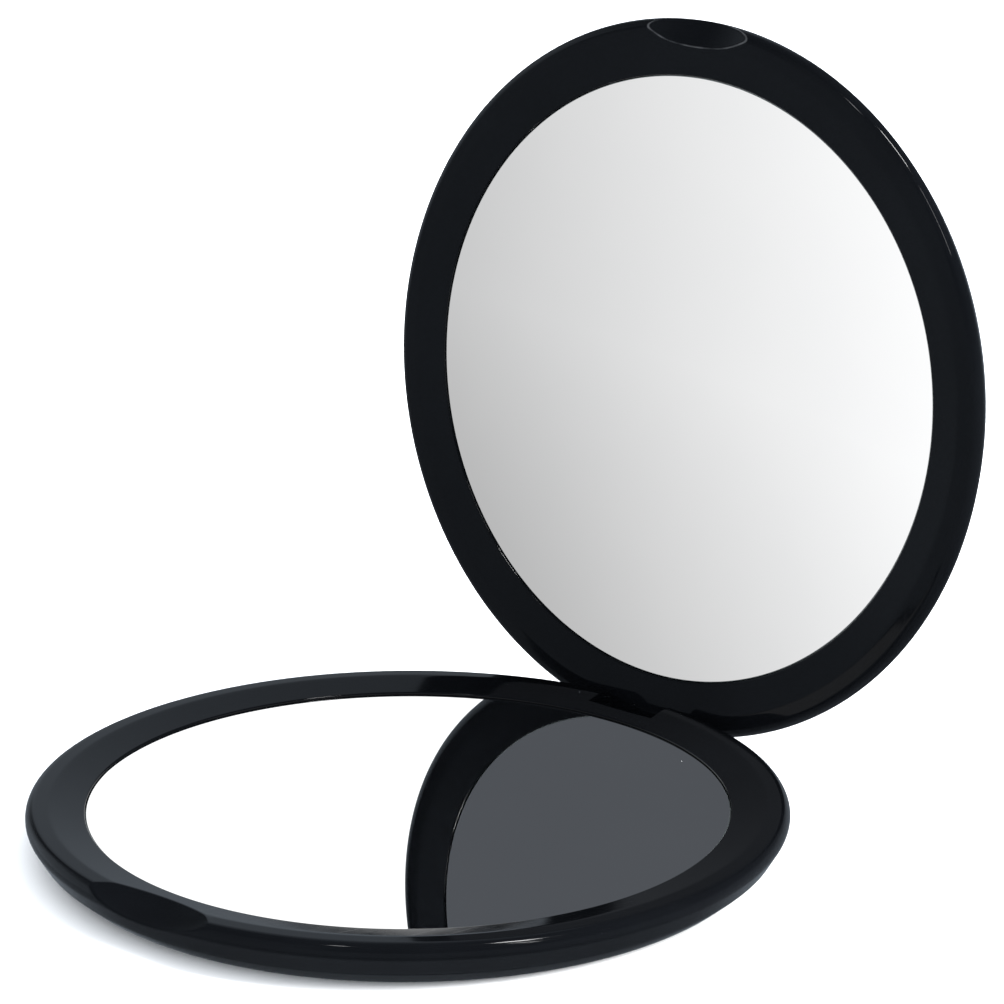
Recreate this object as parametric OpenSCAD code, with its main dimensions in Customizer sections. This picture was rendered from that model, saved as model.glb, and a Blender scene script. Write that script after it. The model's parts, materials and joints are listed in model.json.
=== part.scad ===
// Round double compact mirror, modelled standing open.
// Origin: centre of the underside. +Z is up, -Y is the finger notch side, +Y the hinge side.
// Both halves are drawn lying on their outer face; the lid half is then turned over and opened.

/* [Case halves] */
// Diameter of both discs at the rim
disc_d = 100; // [90:1:110]
// Thickness of one half, outer face to rim
half_t = 6.5; // [6.3:0.1:8]
// Width of the bezel between the rim's rounding and the mirror's tray
bezel_w = 6.4; // [6:0.1:9]
// Width of the bezel's sloping part beside the tray
ramp_w = 4.7; // [4:0.1:5.5]
// Width of the bevel between the seam and the flat outer face
bevel_w = 2.6; // [2:0.1:4]
// Height of the seam between frame and cover above the outer face
seam_h = 2.2; // [1.8:0.1:2.4]
// How far the side wall has drawn in at the seam
seam_inset = 1.6; // [1:0.1:2]
// Rounding of the rim's outer edge
rim_round = 1.4; // [1:0.05:1.6]
// How far the bezel falls from the rim to the mirror
dish = 1; // [0.6:0.05:1.2]
// Gap between the two rims when the compact is closed
closed_gap = 0.5; // [0.45:0.05:0.8]
// Thickness of the side wall
wall_t = 1.5; // [1.2:0.1:1.8]
// Thickness of the bezel face
face_t = 1.3; // [1.1:0.1:1.5]
// Thickness of the outer skin
skin_t = 1; // [0.8:0.05:1.1]
// Clear space between the skin and the frame's floor
skin_gap = 0.6; // [0.4:0.1:0.8]
// Thickness of the tray wall round a mirror
tray_wall_t = 1.2; // [0.8:0.1:1.4]
// Thickness of the cover's locating lip
lip_t = 1; // [0.8:0.1:1.2]
// Height of the cover's locating lip above the seam
lip_h = 0.9; // [0.5:0.1:1]
// Clearance between a piece and the one it drops into
fit_gap = 0.1; // [0.05:0.01:0.15]

/* [Mirrors] */
// Gap round the edge of a mirror
mirror_gap = 0.2; // [0.1:0.05:0.4]
// How far a mirror's face lies below the bezel's inner edge
mirror_sink = 0.3; // [0.1:0.05:0.35]
// Thickness of the flat glass
flat_glass_t = 1.8; // [1.5:0.1:2]
// Thickness of the curved glass
curved_glass_t = 1.3; // [1:0.1:1.4]
// Depth of the curved mirror's centre below its edge
curve_depth = 2.7; // [2:0.1:2.7]
// Thickness of the mounting tape
tape_t = 0.5; // [0.3:0.1:0.6]
// Width of the tape ring under the curved mirror
tape_ring_w = 2.2; // [1.5:0.1:3]
// Width of the ledge that carries the tape ring
ledge_w = 2.8; // [2.6:0.1:4]

/* [Finger notches] */
// Width of the base's notch along the rim
base_notch_w = 21.8; // [18:0.2:24]
// Reach of the base's notch into the bezel
base_notch_reach = 5.1; // [4:0.1:5.4]
// Depth of the base's notch at the side wall
base_notch_drop = 2.4; // [1.6:0.1:2.5]
// Width of the lid's notch along the rim
lid_notch_w = 19.4; // [16:0.2:21]
// Reach of the lid's notch into the bezel
lid_notch_reach = 3.6; // [3:0.1:4.4]
// Depth of the lid's notch at the side wall
lid_notch_drop = 1.6; // [1.2:0.1:2]

/* [Hinge] */
// Distance of the hinge pin inside the rim
hinge_in = 2.2; // [2.1:0.05:2.4]
// Depth of the hinge pin below the base's rim
hinge_drop = 2.95; // [2.85:0.05:3.1]
// Angle between the closed and the open lid
open_angle = 94.7; // [92:0.1:98]
// Diameter of the hinge pin
pin_d = 1.5; // [1.2:0.05:1.6]
// Radial play of the knuckle on the pin
pin_play = 0.05; // [0.02:0.01:0.08]
// Diameter of the knuckle and of the ears round the pin
knuckle_d = 4; // [3.6:0.1:4.1]
// Width of the slot that the lid's arm swings in
slot_w = 11; // [8:0.2:14]
// Reach of the slot in from the rim
slot_reach = 5.5; // [5:0.1:5.7]
// Gap between the arm and each side of the slot
arm_play = 0.3; // [0.2:0.05:0.5]
// Gap between the arm's barrel and the front of the slot
barrel_gap = 0.6; // [0.5:0.05:0.8]
// Width of each ear
ear_w = 3.5; // [2.5:0.1:4]
// Distance of the arm's rear face behind the pin
arm_back = 1.6; // [1.4:0.05:1.7]
// Gap between the open arm and the stop bar
stop_gap = 0.1; // [0.05:0.01:0.2]
// Height of the stop bar
stop_h = 1.2; // [0.8:0.1:1.3]
// Height of the ears' feet above the outer face
foot_lift = 0.4; // [0.2:0.1:0.6]
// Reach of the ears' feet in front of the pin
foot_reach = 1.5; // [1.2:0.1:1.8]
// Gap between each end of the pin and the ear's outer side
pin_recess = 0.2; // [0:0.1:0.5]

/* [Closing magnets] */
// Diameter of the magnets and of their keepers
magnet_d = 4; // [3:0.1:4.2]
// Thickness of the magnets and of their keepers
magnet_t = 1.5; // [1:0.1:1.6]
// Angle of each magnet from the front centre line
magnet_angle = 24; // [20:1:60]
// Least plastic left over a magnet
magnet_cover = 0.7; // [0.6:0.1:0.9]
// Thickness of the boss wall round a magnet
boss_t = 0.6; // [0.4:0.1:0.8]

/* [Hidden] */
$fn = 180;

overrun = 1;
merge = 0.3;
sphere_fn = 360;
round_steps = 6;

disc_r = disc_d / 2;
rim_r = disc_r - rim_round;
wall_top_z = half_t - rim_round;
seam_r = disc_r - seam_inset;
foot_r = seam_r - bevel_w;

tray_r = rim_r - bezel_w;
ramp_r = tray_r + ramp_w;
mirror_r = tray_r - mirror_gap;
tray_out_r = tray_r + tray_wall_t;
bezel_in_z = half_t - dish;
glass_top_z = bezel_in_z - mirror_sink;
flat_tape_z = glass_top_z - flat_glass_t - tape_t;
floor_z = skin_t + skin_gap;

// Radius of the curved mirror's face and height of its centre
curve_r = (pow(mirror_r, 2) + pow(curve_depth, 2)) / (2 * curve_depth);
curve_z = glass_top_z - curve_depth + curve_r;
ledge_r = tray_r - ledge_w;

hinge_y = disc_r - hinge_in;
hinge_z = half_t - hinge_drop;
knuckle_r = knuckle_d / 2;
pin_r = pin_d / 2;
arm_w = slot_w - 2 * arm_play;
slot_y = disc_r - slot_reach;
barrel_r = hinge_y - slot_y - barrel_gap;
ear_x = slot_w / 2 + ear_w;
pin_len = 2 * (ear_x - pin_recess);
ear_back_r = disc_r - fit_gap;
ear_foot_y = hinge_y - foot_reach;

magnet_r = magnet_d / 2;
magnet_path_r = (tray_out_r + wall_in_r(seam_h)) / 2;
magnet_top_z = bezel_z(magnet_path_r - magnet_r) - magnet_cover;
magnet_z = magnet_top_z - magnet_t;
boss_z = magnet_z - fit_gap;
lip_top_z = min(seam_h + lip_h, boss_z - fit_gap);
lip_r = seam_r - wall_t - fit_gap;

// Radius of the side wall's outer and inner face at a height
function wall_out_r(z) = disc_r - seam_inset * (wall_top_z - z) / (wall_top_z - seam_h);
function wall_in_r(z) = wall_out_r(z) - wall_t;
// Height of the bezel's face at a radius
function bezel_z(r) = half_t - dish * max(0, ramp_r - r) / ramp_w;
function rim_arc() = [for (i = [0:round_steps])
    let (a = 90 * i / round_steps) [rim_r + rim_round * cos(a), wall_top_z + rim_round * sin(a)]];

// Ball that cuts a notch of a given width, reach and drop into the rim.
// It meets the rim's top at the two ends, the bezel at the reach and the wall at the drop.
function notch_end_y(w) = sqrt(pow(disc_r, 2) - pow(w / 2, 2));
function notch_bezel_z(reach) = bezel_z(disc_r - reach);
function lean_of(reach, drop) = (half_t - drop - notch_bezel_z(reach)) / reach;
function base_of(reach, drop) =
    let (y1 = disc_r - reach, z1 = notch_bezel_z(reach), z2 = half_t - drop)
    (pow(disc_r, 2) - pow(y1, 2) + pow(z2, 2) - pow(z1, 2)) / (2 * reach);
function ball_z(w, reach, drop) =
    let (ye = notch_end_y(w), z2 = half_t - drop, lean = lean_of(reach, drop), base = base_of(reach, drop))
    (pow(disc_r, 2) + pow(z2, 2) - pow(half_t, 2) - pow(ye, 2) - pow(w / 2, 2) - 2 * base * (disc_r - ye))
    / (2 * (z2 - half_t - lean * (disc_r - ye)));
function ball_y(w, reach, drop) = base_of(reach, drop) - lean_of(reach, drop) * ball_z(w, reach, drop);
function ball_r(w, reach, drop) =
    norm([disc_r - ball_y(w, reach, drop), half_t - drop - ball_z(w, reach, drop)]);

// Places a half's geometry as the open lid
module as_lid() {
    translate([0, hinge_y, hinge_z]) rotate([-open_angle, 0, 0]) translate([0, -hinge_y, -hinge_z])
        translate([0, 0, 2 * half_t + closed_gap]) mirror([0, 0, 1]) children();
}

// Places something drawn in the pin's own frame, closed, at the open lid's angle
module at_open_pin() {
    translate([0, hinge_y, hinge_z]) rotate([-open_angle, 0, 0]) children();
}

module at_magnet(side) {
    rotate([0, 0, side * magnet_angle]) translate([0, -magnet_path_r, 0]) children();
}

module along_x(r, len) {
    rotate([0, 90, 0]) cylinder(h = len, r = r, center = true);
}

// Bezel, side wall and tray wall, down to the given floor
module ring_body(floor_in_r) {
    rotate_extrude() polygon(concat(
        [[seam_r, seam_h]],
        rim_arc(),
        [[ramp_r, half_t], [tray_r, bezel_in_z], [tray_r, floor_z + merge], [floor_in_r, floor_z + merge],
         [floor_in_r, floor_z], [tray_out_r, floor_z], [tray_out_r, bezel_z(tray_out_r) - face_t],
         [wall_in_r(bezel_z(rim_r - wall_t) - face_t), bezel_z(rim_r - wall_t) - face_t],
         [wall_in_r(seam_h), seam_h]]));
}

// Solid stretch of rim that a finger notch is cut into
module notch_backing(w) {
    span = 2 * asin((w / 2 + wall_t) / disc_r);
    rotate_extrude(start = -90 - span / 2, angle = span) polygon([
        [tray_out_r - merge, boss_z], [wall_out_r(boss_z) - merge, boss_z],
        [wall_out_r(bezel_z(tray_out_r) - merge) - merge, bezel_z(tray_out_r) - merge],
        [tray_out_r - merge, bezel_z(tray_out_r) - merge]]);
}

module notch_ball(w, reach, drop) {
    translate([0, -ball_y(w, reach, drop), ball_z(w, reach, drop)])
        sphere(r = ball_r(w, reach, drop), $fn = sphere_fn);
}

module magnet_bosses() {
    for (side = [-1, 1]) at_magnet(side) translate([0, 0, boss_z])
        cylinder(h = magnet_top_z + merge - boss_z, r = magnet_r + fit_gap + boss_t);
}

module magnet_pockets() {
    for (side = [-1, 1]) at_magnet(side) translate([0, 0, boss_z - overrun])
        cylinder(h = magnet_top_z - boss_z + overrun, r = magnet_r + fit_gap);
}

module magnet_disc(side) {
    at_magnet(side) translate([0, 0, magnet_z]) cylinder(h = magnet_t, r = magnet_r);
}

module cover_body() {
    rotate_extrude() polygon([
        [0, 0], [foot_r, 0], [seam_r, seam_h], [lip_r, seam_h], [lip_r, lip_top_z],
        [lip_r - lip_t, lip_top_z], [lip_r - lip_t, skin_t], [0, skin_t]]);
}

// Block behind the base's tray that carries the pin, with feet down to the underside
module hinge_block() {
    intersection() {
        union() {
            translate([-ear_x, tray_r + merge, floor_z])
                cube([2 * ear_x, wall_in_r(floor_z) - tray_r, bezel_z(tray_out_r) - face_t / 2 - floor_z]);
            translate([-ear_x, ear_foot_y, foot_lift])
                cube([2 * ear_x, disc_r - ear_foot_y, hinge_z - foot_lift]);
            translate([0, hinge_y, hinge_z]) along_x(knuckle_r, 2 * ear_x);
        }
        cylinder(h = half_t, r = ear_back_r);
    }
}

module arm_slot() {
    translate([-slot_w / 2, slot_y, -overrun]) cube([slot_w, slot_reach + overrun, half_t + 2 * overrun]);
}

// Bar between the ears that the arm comes down on when the lid is open
module stop_bar() {
    clear_r = knuckle_r + 2 * fit_gap;
    start = sqrt(pow(clear_r, 2) - pow(arm_back + stop_gap, 2));
    at_open_pin() translate([-slot_w / 2 - merge, arm_back + stop_gap, start])
        cube([slot_w + 2 * merge, stop_h, disc_r - hinge_y - start - fit_gap]);
}

module base_frame() {
    color("#16181b") union() {
        difference() {
            union() {
                ring_body(0);
                tray_floor();
                notch_backing(base_notch_w);
                magnet_bosses();
                hinge_block();
            }
            notch_ball(base_notch_w, base_notch_reach, base_notch_drop);
            magnet_pockets();
            arm_slot();
            translate([0, hinge_y, hinge_z]) along_x(pin_r, 2 * ear_x + 2 * overrun);
        }
        stop_bar();
    }
}

// Floor of the tray under the flat mirror
module tray_floor() {
    translate([0, 0, floor_z]) cylinder(h = flat_tape_z - floor_z, r = tray_r + merge);
}

module base_cover() {
    color("#101114") difference() {
        cover_body();
        translate([-ear_x - fit_gap, ear_foot_y - fit_gap, -overrun])
            cube([2 * (ear_x + fit_gap), disc_r, half_t]);
        translate([-ear_x - fit_gap, tray_r, skin_t])
            cube([2 * (ear_x + fit_gap), disc_r, half_t]);
    }
}

module flat_mirror() {
    color("#d9dde0") translate([0, 0, flat_tape_z + tape_t]) cylinder(h = flat_glass_t, r = mirror_r);
}

module flat_mirror_tape() {
    color("#e9e6da") translate([0, 0, flat_tape_z]) cylinder(h = tape_t, r = mirror_r - tape_ring_w / 2);
}

module base_magnet_left() {
    color("#b9bcc0") magnet_disc(-1);
}

module base_magnet_right() {
    color("#b9bcc0") magnet_disc(1);
}

module hinge_pin() {
    color("#c4c6c9") translate([0, hinge_y, hinge_z]) along_x(pin_r, pin_len);
}

// Arm and knuckle, drawn in the pin's own frame with the lid closed.
// The barrel rounds the arm's front edge, which is on top and fills the slot when the lid is open.
module lid_arm() {
    along_x(knuckle_r, arm_w);
    intersection() {
        along_x(barrel_r, arm_w);
        translate([-arm_w / 2, -barrel_r, -barrel_r]) cube([arm_w, barrel_r, barrel_r]);
    }
    translate([-arm_w / 2, -barrel_r, 0])
        cube([arm_w, barrel_r + arm_back, hinge_drop + closed_gap + face_t]);
}

module lid_frame() {
    color("#16181b") difference() {
        union() {
            as_lid() lid_ring();
            at_open_pin() lid_arm();
        }
        at_open_pin() along_x(pin_r + pin_play, arm_w + 2 * overrun);
    }
}

module lid_ring() {
    difference() {
        union() {
            ring_body(ledge_r);
            ledge();
            notch_backing(lid_notch_w);
            magnet_bosses();
        }
        notch_ball(lid_notch_w, lid_notch_reach, lid_notch_drop);
        magnet_pockets();
    }
}

// Ring that carries the tape under the curved mirror's edge, hollowed to the mirror's curve
module ledge() {
    difference() {
        translate([0, 0, floor_z]) cylinder(h = glass_top_z - floor_z, r = tray_r + merge);
        translate([0, 0, floor_z - overrun]) cylinder(h = half_t, r = ledge_r);
        translate([0, 0, curve_z]) sphere(r = curve_r + curved_glass_t + tape_t, $fn = sphere_fn);
    }
}

module lid_cover() {
    color("#101114") as_lid() cover_body();
}

// Layer of a given thickness behind the curved mirror's face, out to a given radius
module curved_layer(depth, thick, r) {
    intersection() {
        cylinder(h = half_t, r = r);
        translate([0, 0, curve_z]) difference() {
            sphere(r = curve_r + depth + thick, $fn = sphere_fn);
            sphere(r = curve_r + depth, $fn = sphere_fn);
        }
    }
}

module magnifying_mirror() {
    color("#d9dde0") as_lid() curved_layer(0, curved_glass_t, mirror_r);
}

module magnifying_mirror_tape() {
    color("#e9e6da") as_lid() difference() {
        curved_layer(curved_glass_t, tape_t, mirror_r);
        cylinder(h = half_t, r = mirror_r - tape_ring_w);
    }
}

module lid_keeper_left() {
    color("#b9bcc0") as_lid() magnet_disc(-1);
}

module lid_keeper_right() {
    color("#b9bcc0") as_lid() magnet_disc(1);
}

base_frame();
base_cover();
flat_mirror();
flat_mirror_tape();
base_magnet_left();
base_magnet_right();
hinge_pin();
lid_frame();
lid_cover();
magnifying_mirror();
magnifying_mirror_tape();
lid_keeper_left();
lid_keeper_right();
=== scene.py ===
# Round double compact mirror in gloss black, standing open on a pale table.
# Each half is modelled lying on its outer face, in millimetres, then put in its place in the frame.
import json
import math

import bmesh
import bpy
from mathutils import Matrix, Vector


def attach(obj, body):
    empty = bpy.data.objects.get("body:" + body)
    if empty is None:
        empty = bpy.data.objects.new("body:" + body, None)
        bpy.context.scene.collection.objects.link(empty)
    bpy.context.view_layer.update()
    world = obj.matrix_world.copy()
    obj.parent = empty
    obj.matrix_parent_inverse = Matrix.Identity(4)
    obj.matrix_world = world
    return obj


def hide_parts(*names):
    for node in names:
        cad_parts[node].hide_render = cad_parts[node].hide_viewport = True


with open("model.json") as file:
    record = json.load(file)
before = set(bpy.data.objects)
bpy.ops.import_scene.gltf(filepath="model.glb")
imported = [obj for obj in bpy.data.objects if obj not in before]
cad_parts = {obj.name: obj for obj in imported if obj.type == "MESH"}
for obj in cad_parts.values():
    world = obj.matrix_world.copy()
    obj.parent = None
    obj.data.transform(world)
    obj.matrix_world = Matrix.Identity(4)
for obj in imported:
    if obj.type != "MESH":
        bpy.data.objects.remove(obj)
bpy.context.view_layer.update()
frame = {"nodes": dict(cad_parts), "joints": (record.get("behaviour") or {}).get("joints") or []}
mm = 0.001

hinge = frame["joints"][0]
openAngle = math.radians(hinge["range_deg"][1])
pinPoint = Vector(hinge["pos_m"]) / mm
print("frame loaded, lid open by", round(math.degrees(openAngle), 1), "degrees")

# Sizes that both halves share
half = {
    "radius": 50,
    "thickness": 6.5,
    "seamHeight": 2.2,
    "seamRadius": 48.4,
    "seamLedge": 0.3,
    "footRadius": 45.8,
    "rimCorner": (50.55, 5.8),
    "rampRadius": 46.9,
    "trayRadius": 42.2,
    "trayWall": 0.45,
    "dish": 1.0,
    "rimRound": 1.4,
    "rampRound": 2.0,
    "apertureRound": 0.22,
    "seamRound": 0.14,
    "footRound": 1.2,
    "hollowTop": 3.3,
    "hollowOuter": 46.9,
    "hollowInner": 43.4,
    "hollowLean": 0.5,
    "floor": 1.6,
    "skin": 1.0,
    "lipOuter": 46.8,
    "lipInner": 45.8,
    "lipTop": 3.1,
    "lipRound": 0.2,
    "lipRoot": 0.3,
    "closedGap": 0.5,
}
apertureHeight = half["thickness"] - half["dish"]

# Closer than this, two points are one, a point lies on a plane, or a boolean left a sliver
samePoint = 1e-4
onPlane = 1e-3
sliver = 0.03
# How far a cutting tool stands past what it cuts
overrun = 1
# A whole turn, as (degrees, steps), and the steps of a small rounding
fullTurn = ((360, 256),)
smallArc = 5

toMetres = Matrix.Scale(mm, 4)
turnOver = Matrix.Translation((0, 0, 2 * half["thickness"] + half["closedGap"]))
turnOver = turnOver @ Matrix.Scale(-1, 4, (0, 0, 1))
swingOpen = Matrix.Translation(pinPoint) @ Matrix.Rotation(-openAngle, 4, "X")
placeBase = toMetres
placeArm = toMetres @ swingOpen
placeLid = placeArm @ Matrix.Translation(-pinPoint) @ turnOver


# Where two lines through (r, z) points cross
def lineCross(a, b, c, d):
    a, b, c, d = (Vector(p) for p in (a, b, c, d))
    u, v = b - a, d - c
    t = ((c.x - a.x) * v.y - (c.y - a.y) * v.x) / (u.x * v.y - u.y * v.x)
    return a + u * t


# An open outline with its corners rounded: corners are (r, z, radius)
def roundedPath(corners, arcSteps):
    points = [Vector(corners[0][:2])]
    for before, here, after in zip(corners, corners[1:], corners[2:]):
        corner, radius = Vector(here[:2]), here[2]
        if radius == 0:
            points.append(corner)
            continue
        inward = (Vector(before[:2]) - corner).normalized()
        onward = (Vector(after[:2]) - corner).normalized()
        opening = inward.angle(onward)
        middle = (inward + onward).normalized()
        centre = corner + middle * radius / math.sin(opening / 2)
        start = corner + inward * radius / math.tan(opening / 2) - centre
        turn = start.angle_signed(corner + onward * radius / math.tan(opening / 2) - centre)
        for i in range(arcSteps + 1):
            a = -turn * i / arcSteps
            spun = Vector((start.x * math.cos(a) - start.y * math.sin(a),
                           start.x * math.sin(a) + start.y * math.cos(a)))
            points.append(centre + spun)
    points.append(Vector(corners[-1][:2]))
    return points


# Evenly spaced places between two others, both included
def evenly(low, high, count):
    return [low + (high - low) * i / count for i in range(count + 1)]


# Merges points closer than a distance, taken in an order that is the same each run
def mergeClose(bm, distance):
    ordered = sorted(bm.verts, key=lambda v: v.co[:])
    bmesh.ops.remove_doubles(bm, verts=ordered, dist=distance)


# Turns an outline round the Z axis in stretches of (degrees, steps), starting at an azimuth
def spinOutline(points, stretches, start=0.0):
    bm = bmesh.new()
    rowLayer = bm.verts.layers.int.new("row")
    turned = Matrix.Rotation(math.radians(start), 3, "Z")
    verts = []
    for i, p in enumerate(points):
        v = bm.verts.new(turned @ Vector((p.x, 0, p.y)))
        v[rowLayer] = i
        verts.append(v)
    edges = [bm.edges.new(pair) for pair in zip(verts, verts[1:])]
    edges.append(bm.edges.new((verts[-1], verts[0])))
    moving = verts + edges
    for degrees, steps in stretches:
        spun = bmesh.ops.spin(bm, geom=moving, cent=(0, 0, 0), axis=(0, 0, 1),
                              angle=math.radians(degrees), steps=steps, use_merge=False)
        moving = [g for g in spun["geom_last"] if not isinstance(g, bmesh.types.BMFace)]
    mergeClose(bm, samePoint)
    return bm


def makeObject(name, bm):
    mesh = bpy.data.meshes.new(name)
    bm.to_mesh(mesh)
    bm.free()
    obj = bpy.data.objects.new(name, mesh)
    bpy.context.scene.collection.objects.link(obj)
    return obj


# Cuts a tool out of a shape, or joins it on
def combine(bm, toolBm, operation):
    for shape in (bm, toolBm):
        bmesh.ops.recalc_face_normals(shape, faces=shape.faces[:])
    target = makeObject("target", bm)
    tool = makeObject("tool", toolBm)
    modifier = target.modifiers.new("combine", "BOOLEAN")
    modifier.operation = operation
    modifier.solver = "EXACT"
    modifier.object = tool
    graph = bpy.context.evaluated_depsgraph_get()
    made = bpy.data.meshes.new_from_object(target.evaluated_get(graph))
    result = bmesh.new()
    result.from_mesh(made)
    bpy.data.meshes.remove(made)
    for obj in (target, tool):
        mesh = obj.data
        bpy.data.objects.remove(obj)
        bpy.data.meshes.remove(mesh)
    return result


def boxShape(low, high):
    bm = bmesh.new()
    bmesh.ops.create_cube(bm, size=1)
    low, high = Vector(low), Vector(high)
    bmesh.ops.scale(bm, vec=high - low, verts=bm.verts[:])
    bmesh.ops.translate(bm, vec=(low + high) / 2, verts=bm.verts[:])
    return bm


def barAlongX(radius, length, centre, segments=64):
    bm = bmesh.new()
    bmesh.ops.create_cone(bm, cap_ends=True, segments=segments, radius1=radius, radius2=radius,
                          depth=length)
    bmesh.ops.rotate(bm, matrix=Matrix.Rotation(math.pi / 2, 3, "Y"), verts=bm.verts[:])
    bmesh.ops.translate(bm, vec=centre, verts=bm.verts[:])
    return bm


# The edges that lie in the two planes at a distance from the middle, across the X axis
def endEdges(bm, distance):
    return [e for e in bm.edges if all(abs(abs(v.co.x) - distance) < onPlane for v in e.verts)]


def bevelEdges(bm, edges, width, segments=3):
    bmesh.ops.bevel(bm, geom=edges, offset=width, offset_type="OFFSET", segments=segments,
                    profile=0.5, affect="EDGES", clamp_overlap=True, material=-1)


# Puts a finished shape in the frame: smooth faces, crisp edges where it turns sharply
def finishPiece(name, bm, place, body, node, material, sharpAngle=32):
    mergeClose(bm, samePoint)
    bmesh.ops.transform(bm, matrix=place, verts=bm.verts[:])
    bmesh.ops.recalc_face_normals(bm, faces=bm.faces[:])
    for face in bm.faces:
        face.smooth = True
    for edge in bm.edges:
        edge.smooth = edge.is_manifold and edge.calc_face_angle() < math.radians(sharpAngle)
    obj = makeObject(name, bm)
    obj.data.materials.append(material)
    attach(obj, body)
    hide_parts(node)
    print("piece", name, len(obj.data.polygons), "faces")
    return obj


# Materials

# A node group with vector and number inputs and number outputs
def newGroup(name, vectors, numbers, outputs):
    group = bpy.data.node_groups.new(name, "ShaderNodeTree")
    for labels, side, kind in ((vectors, "INPUT", "NodeSocketVector"),
                               (numbers, "INPUT", "NodeSocketFloat"),
                               (outputs, "OUTPUT", "NodeSocketFloat")):
        for label in labels:
            group.interface.new_socket(name=label, in_out=side, socket_type=kind)
    return group, group.nodes.new("NodeGroupInput"), group.nodes.new("NodeGroupOutput")


# Gives an input its value, or links an output to it
def feed(tree, socket, value):
    if isinstance(value, bpy.types.NodeSocket):
        tree.links.new(value, socket)
    else:
        socket.default_value = value


def mathNode(tree, operation, a, b=0.0, clamp=False):
    node = tree.nodes.new("ShaderNodeMath")
    node.operation = operation
    node.use_clamp = clamp
    feed(tree, node.inputs[0], a)
    feed(tree, node.inputs[1], b)
    return node.outputs[0]


def noiseNode(tree, vector, scale, detail, roughness):
    node = tree.nodes.new("ShaderNodeTexNoise")
    node.inputs["Detail"].default_value = detail
    node.inputs["Roughness"].default_value = roughness
    feed(tree, node.inputs["Vector"], vector)
    feed(tree, node.inputs["Scale"], scale)
    return node.outputs["Fac"]


def rampNode(tree, value, low, high, outLow=0.0, outHigh=1.0):
    node = tree.nodes.new("ShaderNodeMapRange")
    node.inputs["From Min"].default_value = low
    node.inputs["From Max"].default_value = high
    node.inputs["To Min"].default_value = outLow
    node.inputs["To Max"].default_value = outHigh
    feed(tree, node.inputs["Value"], value)
    return node.outputs[0]


def fallNode(tree, value, low, high):
    return rampNode(tree, value, low, high, 1.0, 0.0)


# Mixes two colours, each an output or a tuple of three
def mixNode(tree, factor, a, b, kind="MIX"):
    node = tree.nodes.new("ShaderNodeMix")
    node.data_type = "RGBA"
    node.blend_type = kind
    for key, value in (("Factor", factor), ("A", a), ("B", b)):
        feed(tree, node.inputs[key], (*value, 1) if isinstance(value, tuple) else value)
    return node.outputs["Result"]


# Specks of dust, sparse and of uneven size
def buildDustGroup():
    group, entry, leave = newGroup("dustSpecks", ["Vector"], ["Cells", "Share", "Size"], ["Mask"])
    cells = group.nodes.new("ShaderNodeTexVoronoi")
    feed(group, cells.inputs["Vector"], entry.outputs["Vector"])
    feed(group, cells.inputs["Scale"], entry.outputs["Cells"])
    parts = group.nodes.new("ShaderNodeSeparateColor")
    feed(group, parts.inputs["Color"], cells.outputs["Color"])
    chosen = mathNode(group, "LESS_THAN", parts.outputs["Red"], entry.outputs["Share"])
    size = mathNode(group, "MULTIPLY", parts.outputs["Green"], entry.outputs["Size"])
    near = mathNode(group, "LESS_THAN", cells.outputs["Distance"], size)
    feed(group, leave.inputs["Mask"], mathNode(group, "MULTIPLY", chosen, near))
    return group


# A pair for detail is the noise's detail and roughness, one for range is where its mask starts
# and ends. Each hairline is (angle, fineness across it)
surfaceDetail = {
    "smearDetail": (4, 0.6),
    "smearRange": (0.38, 0.68),
    "hairlines": ((0.5, 2600), (1.9, 2100), (2.8, 3100)),
    "hairlineTip": (0.3, 0.2),
    "hairlineAlong": 34,
    "hairlineDetail": (1.0, 0.3),
    "hairlineRange": (0.735, 0.77),
    "hairlineDepth": 0.4,
    "waveScale": 45,
    "waveDetail": (1.0, 0.4),
}


# Moulded or polished surface: slow waviness, hairline scratches and a roughness that wanders
def buildSurfaceGroup():
    d = surfaceDetail
    group, entry, leave = newGroup("handledSurface", ["Vector"],
                                   ["Low", "High", "Smears", "Scratch", "Wave"],
                                   ["Roughness", "Height"])
    vector = entry.outputs["Vector"]
    smears = noiseNode(group, vector, entry.outputs["Smears"], *d["smearDetail"])
    smears = rampNode(group, smears, *d["smearRange"])
    spread = mathNode(group, "SUBTRACT", entry.outputs["High"], entry.outputs["Low"])
    spread = mathNode(group, "MULTIPLY", smears, spread)
    rough = mathNode(group, "ADD", entry.outputs["Low"], spread)
    hair = 0.0
    for angle, fineness in d["hairlines"]:
        tipShare, tip = d["hairlineTip"]
        turned = group.nodes.new("ShaderNodeMapping")
        turned.inputs["Rotation"].default_value = (tipShare * angle, tip, angle)
        turned.inputs["Scale"].default_value = (fineness, d["hairlineAlong"], d["hairlineAlong"])
        feed(group, turned.inputs["Vector"], vector)
        line = noiseNode(group, turned.outputs["Vector"], 1.0, *d["hairlineDetail"])
        hair = mathNode(group, "MAXIMUM", hair, rampNode(group, line, *d["hairlineRange"]))
    hair = mathNode(group, "MULTIPLY", hair, entry.outputs["Scratch"])
    feed(group, leave.inputs["Roughness"], mathNode(group, "ADD", rough, hair, clamp=True))
    wave = noiseNode(group, vector, d["waveScale"], *d["waveDetail"])
    wave = mathNode(group, "MULTIPLY", wave, entry.outputs["Wave"])
    groove = mathNode(group, "MULTIPLY", hair, d["hairlineDepth"])
    feed(group, leave.inputs["Height"], mathNode(group, "SUBTRACT", wave, groove))
    return group


# The painted highlight line along a notch's lip rises and falls over these shares of its width, in
# patches
notchHighlightLine = {
    "rise": (0.05, 0.35),
    "fall": (0.5, 1.0),
    "patchScale": 260,
    "patchDetail": (2, 0.6),
    "patchRange": (0.35, 0.62),
}
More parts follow.
